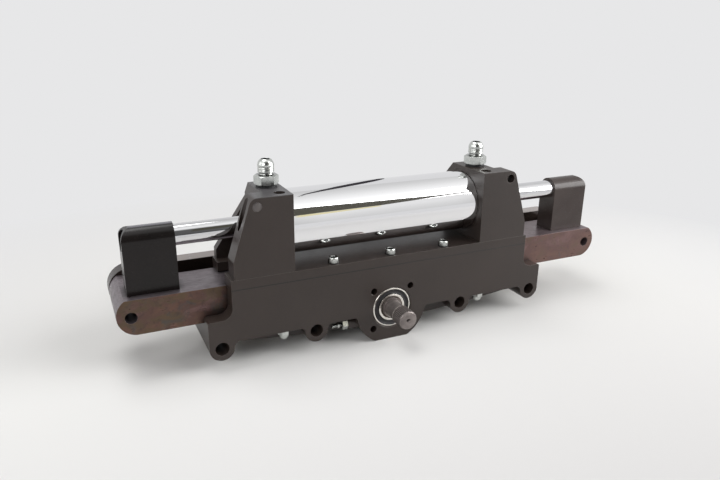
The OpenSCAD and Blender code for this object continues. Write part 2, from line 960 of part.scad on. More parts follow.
module pinion_shaft() {
  color([0.45, 0.44, 0.45])
  difference() {
    union() {
      along_y(gear_y0, gear_y1)
        gear_shape();
      along_y(front_brg1, gear_y0 + 0.5)
        circle(r = front_in_r + 2);
      along_y(front_brg0 - 2, front_brg1 + 0.1)
        circle(r = front_in_r - seat_gap);
      along_y(spline_y1, front_brg0)
        circle(r = neck_r);
      intersection() {
        along_y(spline_y0, spline_y1)
          spline_shape();
        rotate([-90, 0, 0])
          rotate_extrude()
            polygon([[0, spline_y0], [spline_d / 2 - 1.3, spline_y0],
              [spline_d / 2 + 0.3, spline_y0 + 1.6], [spline_d / 2 + 0.3, spline_y1 - 1.3],
              [neck_r, spline_y1], [0, spline_y1]]);
      }
      along_y(gear_y1 - 0.5, rear_seat)
        circle(r = 11);
      along_y(rear_seat - 0.5, boss_y1 - 0.1)
        circle(r = rear_in_r - seat_gap);
    }
    translate([0, spline_y0, 0])
      rotate([-90, 0, 0])
        rotate_extrude()
          polygon([[0, -1], [2.1, -1], [2.1, 0], [1.2, 1.5], [1.2, 6], [0, 6.7]]);
    along_y(rear_brg1 + 0.05, rear_brg1 + 1.25)
      ring(7.8, 9.5);
  }
}

module bearing_outer(y0, y1, r_out, r_land, r_ball, ball_r) {
  rotate([-90, 0, 0])
    rotate_extrude()
      difference() {
        polygon([[r_land, y0], [r_out - ring_edge, y0], [r_out, y0 + ring_edge],
          [r_out, y1 - ring_edge], [r_out - ring_edge, y1], [r_land, y1]]);
        translate([r_ball, (y0 + y1) / 2])
          circle(r = ball_r + free_gap);
      }
}

module bearing_inner(y0, y1, r_in, r_land, r_ball, ball_r, mouth) {
  rotate([-90, 0, 0])
    rotate_extrude()
      difference() {
        polygon([[r_in, y0 + mouth], [r_in + mouth, y0], [r_land, y0], [r_land, y1],
          [r_in + ring_edge, y1], [r_in, y1 - ring_edge]]);
        translate([r_ball, (y0 + y1) / 2])
          circle(r = ball_r + seat_gap);
      }
}

module bearing_balls(y, r_ball, ball_r, count) {
  for (i = [0 : count - 1])
    translate([r_ball * cos(360 * i / count), y, r_ball * sin(360 * i / count)])
      sphere(r = ball_r);
}

// Two cover rings just inside the end faces of a bearing
module bearing_covers(y0, y1, land) {
  for (y = [y0 + 0.4, y1 - 1.4])
    along_y(y, y + 1)
      ring(land[0] + free_gap, land[1] - seat_gap);
}

module front_bearing_outer() {
  color([0.8, 0.8, 0.8])
  bearing_outer(front_brg0, front_brg1, front_bore_r, front_land[1], front_ball_ring, front_ball_r);
}

module front_bearing_inner() {
  color([0.8, 0.8, 0.8])
  bearing_inner(front_brg0, front_brg1, front_in_r, front_land[0], front_ball_ring, front_ball_r,
    front_mouth);
}

module front_bearing_balls() {
  color([0.8, 0.8, 0.8])
  bearing_balls((front_brg0 + front_brg1) / 2, front_ball_ring, front_ball_r, 9);
}

module front_bearing_seals() {
  color([0.05, 0.05, 0.05])
  bearing_covers(front_brg0, front_brg1, front_land);
}

module rear_bearing_outer() {
  color([0.8, 0.8, 0.8])
  bearing_outer(rear_seat, rear_brg1, rear_bore_r, rear_land[1], rear_ball_ring, rear_ball_r);
}

module rear_bearing_inner() {
  color([0.8, 0.8, 0.8])
  bearing_inner(rear_seat, rear_brg1, rear_in_r, rear_land[0], rear_ball_ring, rear_ball_r,
    ring_edge);
}

module rear_bearing_balls() {
  color([0.8, 0.8, 0.8])
  bearing_balls((rear_seat + rear_brg1) / 2, rear_ball_ring, rear_ball_r, 10);
}

module rear_bearing_seals() {
  color([0.05, 0.05, 0.05])
  bearing_covers(rear_seat, rear_brg1, rear_land);
}

module rear_circlip() {
  color([0.35, 0.35, 0.35])
  along_y(rear_brg1 + 0.13, rear_brg1 + 1.33)
    difference() {
      ring(rear_bore_r - 2, rear_bore_r + 0.95);
      rect(-3, -25, 3, 0);
    }
}

module pinion_clip() {
  color([0.35, 0.35, 0.35])
  along_y(rear_brg1 + 0.07, rear_brg1 + 1.2)
    difference() {
      ring(7.82, 10.4);
      rect(-1.5, 0, 1.5, 12);
    }
}

housing();
lid();
tower_left();
tower_right();
ram_tube();
tube_seals();
rod_bushes();
rod_seals();
rod_wipers();
lid_front_screws();
lid_rear_screws();
tower_front_bolts();
tower_bolt_washers();
tower_bolt_nuts();
tower_outer_screws();
tower_rear_bolts();
cheek_pin();
fitting_left();
fitting_right();
fitting_seals();
front_bearing_outer();
front_bearing_seals();
rear_bearing_outer();
rear_bearing_seals();
rear_circlip();
upper_guide_pads();
lower_guide_pads();
adjuster_screw();
adjuster_nut();
rack_bar();
connector_left();
connector_right();
connector_bolts();
connector_set_screws();
piston_rod();
piston();
piston_seals();
piston_clips();
rear_strap();
end_spacers();
strap_screws();
pinion_shaft();
front_bearing_inner();
front_bearing_balls();
rear_bearing_inner();
rear_bearing_balls();
pinion_clip();
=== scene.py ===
import json
import math

import bmesh
import bpy
from mathutils import Matrix, Vector


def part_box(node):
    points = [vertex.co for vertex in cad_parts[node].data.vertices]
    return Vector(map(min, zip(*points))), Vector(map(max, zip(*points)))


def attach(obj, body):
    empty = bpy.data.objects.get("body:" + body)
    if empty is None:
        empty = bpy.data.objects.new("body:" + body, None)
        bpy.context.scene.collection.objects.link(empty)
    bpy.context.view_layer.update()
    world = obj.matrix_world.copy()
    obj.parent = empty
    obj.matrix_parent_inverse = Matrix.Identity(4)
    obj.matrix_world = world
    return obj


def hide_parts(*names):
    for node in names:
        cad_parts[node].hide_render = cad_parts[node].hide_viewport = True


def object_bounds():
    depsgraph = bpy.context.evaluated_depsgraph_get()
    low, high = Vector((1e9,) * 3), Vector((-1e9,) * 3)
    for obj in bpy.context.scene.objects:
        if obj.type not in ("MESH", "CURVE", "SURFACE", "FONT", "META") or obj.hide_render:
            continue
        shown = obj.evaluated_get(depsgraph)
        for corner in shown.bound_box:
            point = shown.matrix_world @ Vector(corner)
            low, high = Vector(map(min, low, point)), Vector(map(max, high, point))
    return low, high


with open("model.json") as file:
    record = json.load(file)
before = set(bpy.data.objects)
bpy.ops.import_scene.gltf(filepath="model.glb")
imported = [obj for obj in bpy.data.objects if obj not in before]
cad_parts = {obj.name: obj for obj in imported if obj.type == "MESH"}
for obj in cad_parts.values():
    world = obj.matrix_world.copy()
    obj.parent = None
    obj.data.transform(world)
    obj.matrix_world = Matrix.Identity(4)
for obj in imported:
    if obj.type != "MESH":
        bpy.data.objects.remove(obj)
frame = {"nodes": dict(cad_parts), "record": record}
cad_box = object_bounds()
nodes = frame["nodes"]

MM = 0.001


def box_mm(node):
    """Lowest and highest corner of a CAD node, in mm."""
    low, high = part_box(node)
    return low / MM, high / MM


def add_object(name, data):
    thing = bpy.data.objects.new(name, data)
    bpy.context.scene.collection.objects.link(thing)
    return thing


# Camera at the photograph's viewpoint

PHOTO_WIDTH_PX = 720
FOCAL_PX = 648.76
CAMERA_YAW, CAMERA_PITCH, CAMERA_ROLL = 0.44148, 0.33211, 0.01106
CAMERA_PLACE = Vector((-279.85, -516.20, 272.23)) * MM


def add_camera():
    """Camera solved from the photo, turned to the right by the yaw and down by the pitch, in radians."""
    data = bpy.data.cameras.new("camera")
    data.sensor_width = 36.0
    data.lens = FOCAL_PX * data.sensor_width / PHOTO_WIDTH_PX
    data.clip_start, data.clip_end = 0.01, 30.0
    camera = add_object("camera", data)
    yaw_sin, yaw_cos = math.sin(CAMERA_YAW), math.cos(CAMERA_YAW)
    pitch_sin, pitch_cos = math.sin(CAMERA_PITCH), math.cos(CAMERA_PITCH)
    roll_sin, roll_cos = math.sin(CAMERA_ROLL), math.cos(CAMERA_ROLL)
    forward = Vector((yaw_sin * pitch_cos, yaw_cos * pitch_cos, -pitch_sin))
    right = Vector((yaw_cos, -yaw_sin, 0.0))
    up = right.cross(forward)
    right_rolled = right * roll_cos + up * roll_sin
    up_rolled = up * roll_cos - right * roll_sin
    turn = Matrix((right_rolled, up_rolled, -forward)).transposed()
    camera.matrix_world = Matrix.Translation(CAMERA_PLACE) @ turn.to_4x4()
    bpy.context.scene.camera = camera


# Helpers for node trees

def srgb(r, g, b):
    """A colour written as 0 to 255 screen values, as the linear value that a shader takes."""
    def linear(value):
        value /= 255
        return value / 12.92 if value <= 0.04045 else ((value + 0.055) / 1.055) ** 2.4
    return (linear(r), linear(g), linear(b), 1.0)


def grey(value):
    return (value, value, value, 1.0)


def fill(tree, target, source):
    """Links an output to a socket, or sets the socket to a plain value."""
    if hasattr(source, "is_output"):
        tree.links.new(source, target)
    else:
        target.default_value = source


def maths(tree, operation, a, b=0.0):
    node = tree.nodes.new("ShaderNodeMath")
    node.operation = operation
    fill(tree, node.inputs[0], a)
    fill(tree, node.inputs[1], b)
    return node.outputs[0]


def colour_ramp(tree, factor, stops):
    """A ramp over stops of (place, colour)."""
    ramp = tree.nodes.new("ShaderNodeValToRGB")
    elements = ramp.color_ramp.elements
    while len(elements) < len(stops):
        elements.new(0.5)
    for element, (place, colour) in zip(elements, stops):
        element.position = place
        element.color = colour
    tree.links.new(factor, ramp.inputs["Fac"])
    return ramp.outputs["Color"]


def emission(tree, colour):
    glow = tree.nodes.new("ShaderNodeEmission")
    glow.inputs["Color"].default_value = colour
    return glow.outputs[0]


class Surface:
    """One node material: a Principled shader with helpers for grain, tint and bump."""

    def __init__(self, name, colour, metallic, roughness):
        self.material = bpy.data.materials.new(name)
        self.material.use_nodes = True
        self.tree = self.material.node_tree
        self.tree.nodes.clear()
        self.out = self.node("ShaderNodeOutputMaterial")
        self.shader = self.node("ShaderNodeBsdfPrincipled")
        self.link(self.shader.outputs["BSDF"], self.out.inputs["Surface"])
        self.shader.inputs["Base Color"].default_value = colour
        self.shader.inputs["Metallic"].default_value = metallic
        self.shader.inputs["Roughness"].default_value = roughness
        self.coords = self.node("ShaderNodeTexCoord").outputs["Object"]
        self.normal = None

    def node(self, kind, **settings):
        made = self.tree.nodes.new(kind)
        for key, value in settings.items():
            setattr(made, key, value)
        return made

    def link(self, output, target):
        self.tree.links.new(output, target)

    def math(self, operation, a, b=0.0):
        return maths(self.tree, operation, a, b)

    def both(self, a, b):
        """The product of two masks."""
        return self.math("MULTIPLY", a, b)

    def scaled(self, scale):
        mapping = self.node("ShaderNodeMapping")
        mapping.inputs["Scale"].default_value = scale
        self.link(self.coords, mapping.inputs["Vector"])
        return mapping.outputs["Vector"]

    def noise(self, size, scale=(1, 1, 1), detail=4.0, rough=0.55, distortion=0.0):
        texture = self.node("ShaderNodeTexNoise")
        texture.inputs["Scale"].default_value = size
        texture.inputs["Detail"].default_value = detail
        texture.inputs["Roughness"].default_value = rough
        texture.inputs["Distortion"].default_value = distortion
        self.link(self.scaled(scale), texture.inputs["Vector"])
        return texture.outputs["Fac"]

    def tint(self, factor, first, last, start=0.3, end=0.7):
        """From the first colour to the last one while the factor goes from start to end."""
        return colour_ramp(self.tree, factor, [(start, first), (end, last)])

    def fade(self, factor, low, high, start=0.3, end=0.7):
        """From one value to another while the factor goes from start to end."""
        return self.tint(factor, grey(low), grey(high), start, end)

    def mix(self, factor, a, b):
        mix = self.node("ShaderNodeMix", data_type="RGBA")
        fill(self.tree, mix.inputs[0], factor)
        fill(self.tree, mix.inputs[6], a)
        fill(self.tree, mix.inputs[7], b)
        return mix.outputs[2]

    def colour(self, output):
        self.link(output, self.shader.inputs["Base Color"])

    def roughness(self, factor, low, high):
        self.link(self.fade(factor, low, high), self.shader.inputs["Roughness"])

    def bump(self, height, strength, distance):
        """Bump of a strength and a height in mm, on top of the soft edges where there are any."""
        bump = self.node("ShaderNodeBump")
        bump.inputs["Strength"].default_value = strength
        bump.inputs["Distance"].default_value = distance * MM
        self.link(height, bump.inputs["Height"])
        if self.normal:
            self.link(self.normal, bump.inputs["Normal"])
        self.normal = bump.outputs["Normal"]
        self.link(self.normal, self.shader.inputs["Normal"])

    def rounded_normal(self, radius):
        """The normal that edges rounded to a radius in mm would have."""
        bevel = self.node("ShaderNodeBevel", samples=6)
        bevel.inputs["Radius"].default_value = radius * MM
        return bevel.outputs["Normal"]

    def soft_edges(self, radius):
        self.normal = self.rounded_normal(radius)
        self.link(self.normal, self.shader.inputs["Normal"])

    def edge_mask(self, radius, low, high):
        """One on edges, where the rounded normal leaves the flat one."""
        dot = self.node("ShaderNodeVectorMath", operation="DOT_PRODUCT")
        self.link(self.rounded_normal(radius), dot.inputs[0])
        self.link(self.node("ShaderNodeNewGeometry").outputs["True Normal"], dot.inputs[1])
        return self.fade(self.math("SUBTRACT", 1.0, dot.outputs["Value"]), 0.0, 1.0, low, high)

    def one_axis(self, vector, axis):
        split = self.node("ShaderNodeSeparateXYZ")
        self.link(vector, split.inputs[0])
        return split.outputs[axis]

    def place(self, axis):
        """Position along one axis, in metres."""
        return self.one_axis(self.coords, axis)

    def toward_right(self, high):
        """Zero up to 50 mm right of the pinion, and rising to a value at 200 mm: the mask of the light
        painted onto the right-hand parts.
        """
        return self.fade(self.place(0), 0.0, high, 50 * MM, 200 * MM)

    def joint_line(self, height):
        """One on a thin band round a height in mm."""
        half = 0.55
        above = self.math("SUBTRACT", self.place(2), height * MM)
        off = self.math("DIVIDE", self.math("ABSOLUTE", above), half * MM)
        return self.fade(off, 1.0, 0.0, 0.5, 1.0)

    def painted_recess_shade(self, reach):
        """Painted shade: zero on open surfaces, one deep in sockets and grooves narrower than the reach in
        mm.
        """
        openness = self.node("ShaderNodeAmbientOcclusion", samples=8)
        openness.inputs["Distance"].default_value = reach * MM
        hidden = self.math("SUBTRACT", 1.0, openness.outputs["AO"])
        return self.math("MINIMUM", self.math("MULTIPLY", hidden, 1.5), 1.0)

    def painted_top_sheen(self, height):
        """One on a top face at a height in mm at the left end, where a paler colour is painted to stand in
        for the sheen of grazing reflection.
        """
        stretch = 5.0
        risen = self.math("MULTIPLY", self.place(2), stretch)
        above = self.fade(risen, 0.0, 1.0, (height - 0.3) * MM * stretch, (height - 0.1) * MM * stretch)
        return self.both(above, self.math("LESS_THAN", self.place(0), 0.0))


# Materials, with lengths in mm

FITTING_BORE_R, FITTING_MOUTH_R = 3.4, 3.95
ROD_SHOWS_FROM = 120
SHAFT_BEVEL_FRONT, SHAFT_BEVEL_BACK = -18.7, -17.1


def black_anodised():
    """Brown-black plates with a fine grain, lighter edges that are partly wear and partly a painted
    highlight, a painted sheen on the left tower's top and a dark seam under the lid.
    """
    look = Surface("black_anodised", srgb(38, 31, 28), 0.0, 0.38)
    look.soft_edges(0.4)
    cloud = look.noise(size=14.0, detail=3.0)
    grain = look.noise(scale=(1.0, 9.0, 9.0), size=260.0, detail=5.0)
    base = look.tint(cloud, srgb(38, 31, 27), srgb(47, 39, 35))
    streaks = look.mix(look.fade(grain, 0.0, 0.4), base, srgb(60, 50, 46))
    # Painted highlight: lighter edges, partly wear and partly a painted edge highlight.
    worn_and_highlit_edges = look.mix(look.edge_mask(0.45, 0.03, 0.4), streaks, srgb(112, 103, 98))
    # Painted sheen: the left tower's top is painted pale grey for the reflection it catches.
    painted_lit_tone = look.mix(look.painted_top_sheen(box_mm("tower_left")[1].z), worn_and_highlit_edges, srgb(92, 92, 95))
    look.colour(look.mix(look.joint_line(box_mm("lid")[0].z), painted_lit_tone, srgb(12, 10, 9)))
    look.roughness(look.noise(scale=(1.0, 6.0, 6.0), size=220.0), 0.34, 0.44)
    look.bump(grain, 0.05, 0.03)
    return look.material


def satin_black():
    """Connectors, painted darker at the left and lighter toward the right for the light that falls there,
    and the strap with a pale top that is a painted reflection.
    """
    look = Surface("satin_black", srgb(24, 21, 20), 0.0, 0.24)
    look.shader.inputs["Specular IOR Level"].default_value = 0.32
    look.soft_edges(0.5)
    blotch = look.noise(size=30.0)
    darker_left_tone = look.tint(blotch, srgb(15, 12, 11), srgb(24, 19, 18))
    painted_lit_tone = look.tint(blotch, srgb(54, 46, 44), srgb(68, 60, 57))
    # Painted light: a darker tone at the left and a paler one at the right stand in for more light falling
    # on the right-hand connector.
    base = look.mix(look.toward_right(1.0), darker_left_tone, painted_lit_tone)
    strap_low, strap_high = box_mm("rear_strap")
    behind = look.math("GREATER_THAN", look.place(1), (strap_low.y - 1.0) * MM)
    # Painted reflection: the strap's top is painted pale for the bright background it reflects.
    strap_top = look.both(behind, look.math("GREATER_THAN", look.place(2), (strap_high.z - 0.2) * MM))
    base = look.mix(strap_top, look.mix(behind, base, srgb(44, 36, 32)), srgb(150, 142, 138))
    # Painted sheen: the left connector's top is painted pale grey for the reflection it catches.
    top = look.mix(look.painted_top_sheen(box_mm("connector_left")[1].z), base, srgb(126, 125, 131))
    # Painted highlight: lighter edges, partly wear and partly a painted edge highlight.
    look.colour(look.mix(look.edge_mask(0.4, 0.04, 0.5), top, srgb(80, 74, 70)))
    look.roughness(look.noise(scale=(1.0, 1.0, 7.0), size=260.0), 0.2, 0.28)
    look.bump(look.noise(scale=(6.0, 6.0, 0.6), size=150.0, detail=3.0), 0.02, 0.02)
    return look.material


def heat_tinted_steel():
    """Bar with brown, olive and grey heat tints on its faces, painted shade in its hollows, painted light
    making it paler toward the right with a pinker tone there, and on its narrow sides a steel grain painted
    pale lilac grey for the bright background it reflects.
    """
    look = Surface("heat_tinted_steel", srgb(84, 64, 58), 0.6, 0.34)
    look.soft_edges(0.4)
    cloud = look.noise(scale=(1.0, 1.0, 1.6), size=20.0, detail=6.0, rough=0.62, distortion=0.8)
    browns = [(0.3, srgb(76, 62, 60)), (0.43, srgb(104, 78, 66)),
              (0.57, srgb(90, 68, 62)), (0.7, srgb(116, 90, 88))]
    base = colour_ramp(look.tree, cloud, browns)
    drift = look.noise(scale=(1.0, 1.0, 1.5), size=34.0, detail=5.0, rough=0.6, distortion=1.4)
    olive = look.mix(look.fade(drift, 0.0, 0.6, 0.5, 0.6), base, srgb(86, 75, 55))
    veil = look.noise(size=52.0, rough=0.6, distortion=0.9)
    cooled = look.mix(look.fade(veil, 0.0, 0.7, 0.55, 0.66), olive, srgb(74, 72, 70))
    spots = look.noise(size=130.0, detail=5.0, rough=0.7)
    face = look.mix(look.fade(spots, 0.0, 0.5, 0.52, 0.66), cooled, srgb(62, 50, 50))
    # Painted reflection: the top, bottom and end faces take a pale lilac grey that is partly real steel
    # grain and partly a painted reflection of the bright background.
    normal = look.node("ShaderNodeTexCoord").outputs["Normal"]
    front = look.fade(look.math("ABSOLUTE", look.one_axis(normal, 1)), 0.0, 1.0, 0.3, 0.9)
    grain = look.noise(scale=(1.0, 7.0, 7.0), size=110.0, detail=5.0)
    grain_with_painted_sheen = look.tint(grain, srgb(100, 92, 96), srgb(126, 118, 122), 0.35, 0.65)
    # Painted shade: near-black brown where the bar runs close to other parts and in its grooves.
    with_painted_recess_shade = look.mix(look.painted_recess_shade(7.0), look.mix(front, grain_with_painted_sheen, face), srgb(24, 18, 16))
    # Painted light: paler toward the right, where more light falls, with a pinker tone there.
    paler = look.mix(look.toward_right(0.3), with_painted_recess_shade, srgb(128, 104, 104))
    # Painted highlight: lighter edges, partly wear and partly a painted edge highlight.
    look.colour(look.mix(look.edge_mask(0.4, 0.04, 0.5), paler, srgb(150, 128, 122)))
    look.roughness(look.noise(scale=(1.0, 1.0, 3.0), size=90.0, detail=5.0), 0.26, 0.48)
    look.bump(look.noise(scale=(0.6, 6.0, 6.0), size=240.0), 0.06, 0.03)
    return look.material


def chrome():
    """Ram tube and rods, with the rods outside the towers a little duller."""
    bright = (0.84, 0.84, 0.85, 1.0)
    look = Surface("chrome", bright, 1.0, 0.04)
    off_middle = look.math("ABSOLUTE", look.place(0))
    rod = look.fade(off_middle, 0.0, 1.0, (ROD_SHOWS_FROM - 2) * MM, (ROD_SHOWS_FROM + 2) * MM)
    wear = look.noise(scale=(1.0, 5.0, 5.0), size=50.0, detail=3.0)
    look.colour(look.mix(rod, bright, look.tint(wear, (0.66, 0.66, 0.67, 1.0), (0.72, 0.72, 0.73, 1.0))))
    look.roughness(look.noise(scale=(1.0, 4.0, 4.0), size=60.0), 0.02, 0.06)
    look.bump(look.noise(scale=(6.0, 1.0, 1.0), size=90.0, detail=2.0), 0.012, 0.01)
    return look.material


def zinc_steel():
    """Plated screws, nuts and fittings, with painted shade in their sockets and grooves and in the fittings'
    bores.
    """
    look = Surface("zinc_steel", srgb(200, 202, 196), 1.0, 0.16)
    look.soft_edges(0.15)
    plating = look.tint(look.noise(size=160.0, detail=3.0), srgb(184, 187, 184), srgb(208, 210, 206))
    low, high = box_mm("fitting_right")
    off_x = look.math("SUBTRACT", look.math("ABSOLUTE", look.place(0)), (low.x + high.x) / 2 * MM)
    off_y = look.math("SUBTRACT", look.place(1), (low.y + high.y) / 2 * MM)
    off_squared = look.math("ADD", look.both(off_x, off_x), look.both(off_y, off_y))
    bore = look.math("LESS_THAN", off_squared, (FITTING_MOUTH_R * MM) ** 2)
    # Painted shade: dark grey in the fittings' bores and in sockets and grooves.
    painted_socket_shade = look.math("MAXIMUM", bore, look.painted_recess_shade(4.0))
    look.colour(look.mix(painted_socket_shade, plating, srgb(38, 39, 40)))
    look.roughness(look.noise(size=300.0, detail=3.0), 0.17, 0.26)
    look.bump(look.noise(size=400.0, detail=2.0), 0.03, 0.02)
    return look.material


def dark_steel():
    look = Surface("dark_steel", srgb(96, 92, 91), 0.85, 0.36)
    look.soft_edges(0.2)
    look.colour(look.tint(look.noise(size=90.0), srgb(84, 80, 80), srgb(112, 107, 105)))
    look.roughness(look.noise(size=400.0, detail=3.0), 0.3, 0.5)
    look.bump(look.noise(size=600.0), 0.08, 0.03)
    return look.material


def shaft_steel():
    """Turned shaft with fine rings and a painted highlight band at the neck's bevel."""
    look = Surface("shaft_steel", srgb(122, 115, 114), 0.55, 0.34)
    look.soft_edges(0.15)
    rings = look.noise(scale=(0.3, 12.0, 0.3), size=300.0, detail=3.0)
    turned = look.tint(rings, srgb(106, 99, 97), srgb(142, 134, 131))
    # Painted highlight: a pale band on the bevel where the spline starts.
    bevel = look.both(look.math("GREATER_THAN", look.place(1), SHAFT_BEVEL_FRONT * MM),
                      look.math("LESS_THAN", look.place(1), SHAFT_BEVEL_BACK * MM))
    look.colour(look.mix(bevel, turned, srgb(206, 196, 190)))
    look.roughness(look.noise(scale=(1.0, 8.0, 1.0), size=200.0), 0.26, 0.44)
    look.bump(rings, 0.08, 0.03)
    return look.material


def bearing_steel():
    look = Surface("bearing_steel", srgb(222, 218, 212), 1.0, 0.2)
    look.soft_edges(0.2)
    look.colour(look.tint(look.noise(size=200.0), srgb(214, 210, 203), srgb(230, 226, 220)))
    look.roughness(look.noise(size=500.0, detail=3.0), 0.14, 0.28)
    look.bump(look.noise(scale=(1.0, 20.0, 1.0), size=200.0), 0.03, 0.02)
    return look.material


def piston_alloy():
    look = Surface("piston_alloy", srgb(180, 180, 182), 1.0, 0.35)
    look.colour(look.tint(look.noise(size=90.0), srgb(168, 168, 171), srgb(192, 192, 194)))
    look.roughness(look.noise(scale=(20.0, 1.0, 1.0), size=100.0), 0.28, 0.42)
    look.bump(look.noise(scale=(20.0, 1.0, 1.0), size=160.0), 0.05, 0.02)
    return look.material


def bronze():
    look = Surface("bronze", srgb(168, 124, 66), 1.0, 0.38)
    look.colour(look.tint(look.noise(size=120.0), srgb(150, 108, 56), srgb(182, 138, 80)))
    look.roughness(look.noise(size=400.0), 0.3, 0.48)
    look.bump(look.noise(size=500.0, detail=3.0), 0.08, 0.03)
    return look.material


def seal_rubber():
    look = Surface("seal_rubber", srgb(30, 29, 31), 0.0, 0.5)
    look.soft_edges(0.15)
    look.colour(look.tint(look.noise(size=220.0), srgb(18, 17, 19), srgb(30, 28, 31)))
    look.roughness(look.noise(size=500.0), 0.4, 0.6)
    look.bump(look.noise(size=1200.0, detail=2.0), 0.1, 0.03)
    return look.material


MATERIALS = {
    "black_anodised": black_anodised(),
    "satin_black": satin_black(),
    "heat_tinted_steel": heat_tinted_steel(),
    "chrome": chrome(),
    "zinc_steel": zinc_steel(),
    "dark_steel": dark_steel(),
    "shaft_steel": shaft_steel(),
    "bearing_steel": bearing_steel(),
    "piston_alloy": piston_alloy(),
    "bronze": bronze(),
    "seal_rubber": seal_rubber(),
}


def dress_cad_nodes():
    for part in frame["record"]["subparts"]:
        thing = nodes[part["node"]]
        thing.data.materials.clear()
        thing.data.materials.append(MATERIALS[part["material_slot"]])


# Turned and hexagonal detail pieces, with lengths in mm and angles in degrees

def hexagon(across_flats, turn):
    """Radius of a hexagon at an angle, with a corner at `turn`."""
    def radius(angle):
        return across_flats / 2 / math.cos(math.radians((angle - turn) % 60 - 30))
    return radius


def knurl(radius, depth, count):
    """Radius of a straight knurl at an angle."""
    return lambda angle: radius - depth * abs(math.sin(math.radians(angle * count / 2)))


def thread(major, depth, pitch, start, end):
    """Radius of a screw thread at an angle and height, running out at both ends."""
    def radius(angle, height):
        wave = (height / pitch - angle / 360) % 1.0
        cut = min(1.0, max(0.0, 1.35 - 2.7 * abs(wave - 0.5)))
        run_out = min(1.0, (height - start) / (pitch * 0.8), (end - height) / (pitch * 0.8))
        return major - depth * cut * max(0.0, run_out)
    return radius


def thread_rows(major, depth, pitch, start, end):
    """Rows up a screw thread, ten to a turn."""
    radius = thread(major, depth, pitch, start, end)
    total = int(round((end - start) / pitch * 10))
    heights = [start + (end - start) * k / total for k in range(total + 1)]
    return [(lambda angle, h=h: radius(angle, h), h) for h in heights]


def hex_rows(across_flats, low, high, turn, face):
    """Rows up a hexagon with corners turned down at 30 degrees to end faces of a share of its flats."""
    side, flat = hexagon(across_flats, turn), across_flats / 2 * face
    slope = math.tan(math.radians(30))
    return [(flat, low), (side, lambda a: low + (side(a) - flat) * slope),
            (side, lambda a: high - (side(a) - flat) * slope), (flat, high)]


def add_turned(mesh, rows, place, axis="Z", count=96, rounds=False):
    """Adds a skin through rows of (radius, height) round an axis at `place`.

    Radius and height may be functions of the angle. The ends are closed, or joined if `rounds`.
    """
    def value(given, angle):
        return given(angle) if callable(given) else given

    def spot(r, h, angle):
        u, v = r * math.cos(math.radians(angle)), r * math.sin(math.radians(angle))
        x, y, z = {"Z": (u, v, h), "Y": (u, h, v), "X": (h, u, v)}[axis]
        return (Vector((x, y, z)) + Vector(place)) * MM

    angles = [360 * k / count for k in range(count)]
    rings = [[mesh.verts.new(spot(value(r, a), value(h, a), a)) for a in angles] for r, h in rows]
    following = rings[1:] + rings[:1] if rounds else rings[1:]
    for low, high in zip(rings, following):
        for k in range(count):
            n = (k + 1) % count
            mesh.faces.new((low[k], low[n], high[n], high[k]))
    if not rounds:
        mesh.faces.new(rings[0])
        mesh.faces.new(rings[-1])


def finish_piece(name, mesh, body, slot, *replaced, sharp=32):
    """Turns a bmesh into a shaded piece on a body, with edges over the sharp angle kept sharp."""
    bmesh.ops.recalc_face_normals(mesh, faces=mesh.faces)
    for face in mesh.faces:
        face.smooth = True
    for edge in mesh.edges:
        edge.smooth = len(edge.link_faces) == 2 and edge.calc_face_angle(0.0) < math.radians(sharp)
    data = bpy.data.meshes.new(name)
    mesh.to_mesh(data)
    mesh.free()
    piece = add_object(name, data)
    data.materials.append(MATERIALS[slot])
    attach(piece, body)
    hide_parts(*replaced)


def add_fitting(side, turn):
    """Flare fitting: seat, chamfered hexagon, neck, outside thread and rounded cone with its bore."""
    node = "fitting_" + side
    low, high = box_mm(node)
    centre = ((low.x + high.x) / 2, (low.y + high.y) / 2, 0)
    foot, top = box_mm("fitting_seals")[1].z, high.z
    hex_top = foot + 9.2
    thread_top = top - 5.8
    seat_r, neck_r, thread_r, tip_r = 7.5, 6.5, 7.6, 4.4
    rows = [(FITTING_BORE_R, low.z), (seat_r - 0.3, low.z), (seat_r, low.z + 0.4), (seat_r, foot),
            (9.0, foot)]
    rows += hex_rows(20, foot + 0.01, hex_top, turn, 0.93)
    rows += [(8.1, hex_top + 0.01), (6.9, hex_top + 0.35), (neck_r, hex_top + 1.1), (neck_r, hex_top + 2.0),
             (6.9, hex_top + 2.5)]
    rows += thread_rows(thread_r, 0.22, 1.41, hex_top + 2.6, thread_top)
    rows += [(thread_r, top - 5.5), (thread_r, top - 4.8), (7.4, top - 4.5), (7.3, top - 4.0),
             (7.0, top - 3.1), (6.6, top - 2.3), (6.1, top - 1.5), (5.5, top - 0.8), (4.8, top - 0.2),
             (tip_r, top)]
    rows += [(4.0, top - 0.1), (3.6, top - 0.5), (FITTING_BORE_R, top - 0.9),
             (FITTING_BORE_R, low.z + 0.3)]
    mesh = bmesh.new()
    add_turned(mesh, rows, centre, count=120, rounds=True)
    finish_piece("flare_fitting_" + side, mesh, "body", "zinc_steel", node)


def socket_head_rows(low, seat, shank_r, head_r, height, socket):
    """Socket head screw: pointed shank, thread left plain in its hole, knurled head, hexagon socket."""
    top = seat + height
    side = knurl(head_r, 0.16, 48)
    mouth_r = socket / 2 / math.cos(math.radians(30)) + 0.3
    return [(shank_r * 0.8, low), (shank_r, low + 0.6), (shank_r, seat), (head_r - 0.4, seat),
            (side, seat + 0.35), (side, top - 1.0), (head_r - 0.05, top - 0.9), (head_r - 0.3, top - 0.4),
            (head_r - 0.75, top), (mouth_r, top), (hexagon(socket, 30), top - 0.35),
            (hexagon(socket, 30), top - height / 2), (0.3, top - height / 2 - 0.8)]


def add_screws(name, places, rows, replaced):
    mesh = bmesh.new()
    for x, y in places:
        add_turned(mesh, rows, (x, y, 0), count=144)
    finish_piece(name, mesh, "body", "zinc_steel", replaced)


